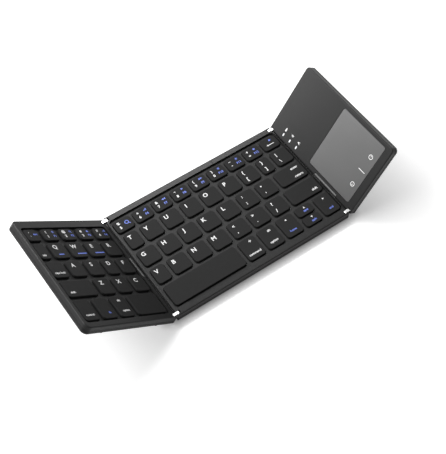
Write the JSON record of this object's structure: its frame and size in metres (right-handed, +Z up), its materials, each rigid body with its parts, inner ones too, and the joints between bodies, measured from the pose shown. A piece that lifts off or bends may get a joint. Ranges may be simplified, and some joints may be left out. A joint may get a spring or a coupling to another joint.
{
  "type": "folding keyboard",
  "caption": "Slim three-panel folding keyboard: middle key panel, left key wing and right touch wing on double-pin hinges, with raised flat keycaps in sunken wells.",
  "frame": {"origin": "on the middle panel's flat underside, at the panel's centre in plan, 0.5 mm above the surface that its feet stand on", "axes": "+X to the typist's right, +Y to the rear, +Z up"},
  "size_m": [0.2644, 0.1012, 0.0598],
  "materials": {
    "keycap_plastic": "satin, fine texture",
    "plate_plastic": "satin",
    "shell_plastic": "fine grain",
    "cover_plastic": "satin",
    "hinge_plastic": "smooth",
    "touch_surface": "silk",
    "bright_metal": "polished",
    "steel": "plain",
    "foot_rubber": "matt",
    "silicone": "translucent white",
    "board": "coated board",
    "cell_pouch": "laminate pouch",
    "cable_film": "polyimide film",
    "light_guide": "clear white"
  },
  "bodies": {
    "middle_panel": {"mid_bottom_shell": "shell_plastic", "mid_top_bezel": "cover_plastic", "mid_key_plate": "plate_plastic", "mid_dome_sheet": "silicone", "mid_circuit_board": "board", "mid_battery_cell": "cell_pouch", "mid_charging_port": "steel", "mid_feet": "foot_rubber", "mid_screws": "steel", "left_flex_cable": "cable_film", "right_flex_cable": "cable_film"},
    "left_links": {"left_rear_link": "bright_metal", "left_front_link": "bright_metal", "left_hinge_pins": "steel"},
    "left_wing": {"left_bottom_shell": "shell_plastic", "left_top_bezel": "cover_plastic", "left_key_plate": "plate_plastic", "left_dome_sheet": "silicone", "left_circuit_board": "board", "left_flex_cover": "hinge_plastic", "left_feet": "foot_rubber", "left_screws": "steel"},
    "right_links": {"right_rear_link": "bright_metal", "right_front_link": "bright_metal", "right_hinge_pins": "steel"},
    "right_wing": {"right_bottom_shell": "shell_plastic", "right_top_cover": "cover_plastic", "right_touch_plate": "touch_surface", "right_touch_sensor": "board", "right_circuit_board": "board", "right_light_guides": "light_guide", "right_flex_cover": "hinge_plastic", "right_feet": "foot_rubber", "right_screws": "steel"},
    "keys_mid_numbers_body": {"keys_mid_numbers": "keycap_plastic"},
    "key_backspace_body": {"key_backspace": "keycap_plastic"},
    "keys_mid_upper_body": {"keys_mid_upper": "keycap_plastic"},
    "key_backslash_body": {"key_backslash": "keycap_plastic"},
    "keys_mid_home_body": {"keys_mid_home": "keycap_plastic"},
    "key_enter_body": {"key_enter": "keycap_plastic"},
    "keys_mid_lower_body": {"keys_mid_lower": "keycap_plastic"},
    "key_right_shift_body": {"key_right_shift": "keycap_plastic"},
    "key_space_bar_body": {"key_space_bar": "keycap_plastic"},
    "key_command_body": {"key_command": "keycap_plastic"},
    "key_right_option_body": {"key_right_option": "keycap_plastic"},
    "key_arrow_left_body": {"key_arrow_left": "keycap_plastic"},
    "key_arrow_up_body": {"key_arrow_up": "keycap_plastic"},
    "key_arrow_down_body": {"key_arrow_down": "keycap_plastic"},
    "key_arrow_right_body": {"key_arrow_right": "keycap_plastic"},
    "keys_left_numbers_body": {"keys_left_numbers": "keycap_plastic"},
    "keys_left_upper_body": {"keys_left_upper": "keycap_plastic"},
    "key_tab_body": {"key_tab": "keycap_plastic"},
    "keys_left_home_body": {"keys_left_home": "keycap_plastic"},
    "key_caps_lock_body": {"key_caps_lock": "keycap_plastic"},
    "keys_left_lower_body": {"keys_left_lower": "keycap_plastic"},
    "key_left_shift_body": {"key_left_shift": "keycap_plastic"},
    "key_left_space_body": {"key_left_space": "keycap_plastic"},
    "key_left_option_body": {"key_left_option": "keycap_plastic"},
    "key_function_body": {"key_function": "keycap_plastic"},
    "key_control_body": {"key_control": "keycap_plastic"}
  },
  "joints": [
    {"name": "left_inner_hinge", "type": "hinge", "parent": "middle_panel", "child": "left_links", "pos_m": [-0.07515, 0, 0.00615], "axis": [0, 1, 0], "range_deg": [0, 90], "deforming": ["left_flex_cable"]},
    {"name": "left_outer_hinge", "type": "hinge", "parent": "left_links", "child": "left_wing", "pos_m": [-0.07935, 0, 0.00615], "axis": [0, 1, 0], "range_deg": [-38.8, 51.2], "deforming": ["left_flex_cable"]},
    {"name": "right_inner_hinge", "type": "hinge", "parent": "middle_panel", "child": "right_links", "pos_m": [0.07515, 0, 0.00615], "axis": [0, -1, 0], "range_deg": [0, 90], "deforming": ["right_flex_cable"]},
    {"name": "right_outer_hinge", "type": "hinge", "parent": "right_links", "child": "right_wing", "pos_m": [0.07935, 0, 0.00615], "axis": [0, -1, 0], "range_deg": [-56, 34], "deforming": ["right_flex_cable"]},
    {"name": "press_mid_numbers", "type": "slide", "parent": "middle_panel", "child": "keys_mid_numbers_body", "axis": [0, 0, -1], "range_m": [0, 0.0011], "stiffness_N_per_m": 2000, "springref_m": -0.0008, "deforming": ["mid_dome_sheet"]},
    {"name": "press_backspace", "type": "slide", "parent": "middle_panel", "child": "key_backspace_body", "axis": [0, 0, -1], "range_m": [0, 0.0011], "stiffness_N_per_m": 250, "springref_m": -0.0008, "deforming": ["mid_dome_sheet"]},
    {"name": "press_mid_upper", "type": "slide", "parent": "middle_panel", "child": "keys_mid_upper_body", "axis": [0, 0, -1], "range_m": [0, 0.0011], "stiffness_N_per_m": 2000, "springref_m": -0.0008, "deforming": ["mid_dome_sheet"]},
    {"name": "press_backslash", "type": "slide", "parent": "middle_panel", "child": "key_backslash_body", "axis": [0, 0, -1], "range_m": [0, 0.0011], "stiffness_N_per_m": 250, "springref_m": -0.0008, "deforming": ["mid_dome_sheet"]},
    {"name": "press_mid_home", "type": "slide", "parent": "middle_panel", "child": "keys_mid_home_body", "axis": [0, 0, -1], "range_m": [0, 0.0011], "stiffness_N_per_m": 1750, "springref_m": -0.0008, "deforming": ["mid_dome_sheet"]},
    {"name": "press_enter", "type": "slide", "parent": "middle_panel", "child": "key_enter_body", "axis": [0, 0, -1], "range_m": [0, 0.0011], "stiffness_N_per_m": 250, "springref_m": -0.0008, "deforming": ["mid_dome_sheet"]},
    {"name": "press_mid_lower", "type": "slide", "parent": "middle_panel", "child": "keys_mid_lower_body", "axis": [0, 0, -1], "range_m": [0, 0.0011], "stiffness_N_per_m": 1750, "springref_m": -0.0008, "deforming": ["mid_dome_sheet"]},
    {"name": "press_right_shift", "type": "slide", "parent": "middle_panel", "child": "key_right_shift_body", "axis": [0, 0, -1], "range_m": [0, 0.0011], "stiffness_N_per_m": 250, "springref_m": -0.0008, "deforming": ["mid_dome_sheet"]},
    {"name": "press_space_bar", "type": "slide", "parent": "middle_panel", "child": "key_space_bar_body", "axis": [0, 0, -1], "range_m": [0, 0.0011], "stiffness_N_per_m": 250, "springref_m": -0.0008, "deforming": ["mid_dome_sheet"]},
    {"name": "press_command", "type": "slide", "parent": "middle_panel", "child": "key_command_body", "axis": [0, 0, -1], "range_m": [0, 0.0011], "stiffness_N_per_m": 250, "springref_m": -0.0008, "deforming": ["mid_dome_sheet"]},
    {"name": "press_right_option", "type": "slide", "parent": "middle_panel", "child": "key_right_option_body", "axis": [0, 0, -1], "range_m": [0, 0.0011], "stiffness_N_per_m": 250, "springref_m": -0.0008, "deforming": ["mid_dome_sheet"]},
    {"name": "press_arrow_left", "type": "slide", "parent": "middle_panel", "child": "key_arrow_left_body", "axis": [0, 0, -1], "range_m": [0, 0.0011], "stiffness_N_per_m": 250, "springref_m": -0.0008, "deforming": ["mid_dome_sheet"]},
    {"name": "press_arrow_up", "type": "slide", "parent": "middle_panel", "child": "key_arrow_up_body", "axis": [0, 0, -1], "range_m": [0, 0.0011], "stiffness_N_per_m": 250, "springref_m": -0.0008, "deforming": ["mid_dome_sheet"]},
    {"name": "press_arrow_down", "type": "slide", "parent": "middle_panel", "child": "key_arrow_down_body", "axis": [0, 0, -1], "range_m": [0, 0.0011], "stiffness_N_per_m": 250, "springref_m": -0.0008, "deforming": ["mid_dome_sheet"]},
    {"name": "press_arrow_right", "type": "slide", "parent": "middle_panel", "child": "key_arrow_right_body", "axis": [0, 0, -1], "range_m": [0, 0.0011], "stiffness_N_per_m": 250, "springref_m": -0.0008, "deforming": ["mid_dome_sheet"]},
    {"name": "press_left_numbers", "type": "slide", "parent": "left_wing", "child": "keys_left_numbers_body", "axis": [-0.6266, 0, -0.7793], "range_m": [0, 0.0011], "stiffness_N_per_m": 1250, "springref_m": -0.0008, "deforming": ["left_dome_sheet"]},
    {"name": "press_left_upper", "type": "slide", "parent": "left_wing", "child": "keys_left_upper_body", "axis": [-0.6266, 0, -0.7793], "range_m": [0, 0.0011], "stiffness_N_per_m": 1000, "springref_m": -0.0008, "deforming": ["left_dome_sheet"]},
    {"name": "press_tab", "type": "slide", "parent": "left_wing", "child": "key_tab_body", "axis": [-0.6266, 0, -0.7793], "range_m": [0, 0.0011], "stiffness_N_per_m": 250, "springref_m": -0.0008, "deforming": ["left_dome_sheet"]},
    {"name": "press_left_home", "type": "slide", "parent": "left_wing", "child": "keys_left_home_body", "axis": [-0.6266, 0, -0.7793], "range_m": [0, 0.0011], "stiffness_N_per_m": 1000, "springref_m": -0.0008, "deforming": ["left_dome_sheet"]},
    {"name": "press_caps_lock", "type": "slide", "parent": "left_wing", "child": "key_caps_lock_body", "axis": [-0.6266, 0, -0.7793], "range_m": [0, 0.0011], "stiffness_N_per_m": 250, "springref_m": -0.0008, "deforming": ["left_dome_sheet"]},
    {"name": "press_left_lower", "type": "slide", "parent": "left_wing", "child": "keys_left_lower_body", "axis": [-0.6266, 0, -0.7793], "range_m": [0, 0.0011], "stiffness_N_per_m": 750, "springref_m": -0.0008, "deforming": ["left_dome_sheet"]},
    {"name": "press_left_shift", "type": "slide", "parent": "left_wing", "child": "key_left_shift_body", "axis": [-0.6266, 0, -0.7793], "range_m": [0, 0.0011], "stiffness_N_per_m": 250, "springref_m": -0.0008, "deforming": ["left_dome_sheet"]},
    {"name": "press_left_space", "type": "slide", "parent": "left_wing", "child": "key_left_space_body", "axis": [-0.6266, 0, -0.7793], "range_m": [0, 0.0011], "stiffness_N_per_m": 250, "springref_m": -0.0008, "deforming": ["left_dome_sheet"]},
    {"name": "press_left_option", "type": "slide", "parent": "left_wing", "child": "key_left_option_body", "axis": [-0.6266, 0, -0.7793], "range_m": [0, 0.0011], "stiffness_N_per_m": 250, "springref_m": -0.0008, "deforming": ["left_dome_sheet"]},
    {"name": "press_function", "type": "slide", "parent": "left_wing", "child": "key_function_body", "axis": [-0.6266, 0, -0.7793], "range_m": [0, 0.0011], "stiffness_N_per_m": 250, "springref_m": -0.0008, "deforming": ["left_dome_sheet"]},
    {"name": "press_control", "type": "slide", "parent": "left_wing", "child": "key_control_body", "axis": [-0.6266, 0, -0.7793], "range_m": [0, 0.0011], "stiffness_N_per_m": 250, "springref_m": -0.0008, "deforming": ["left_dome_sheet"]}
  ]
}
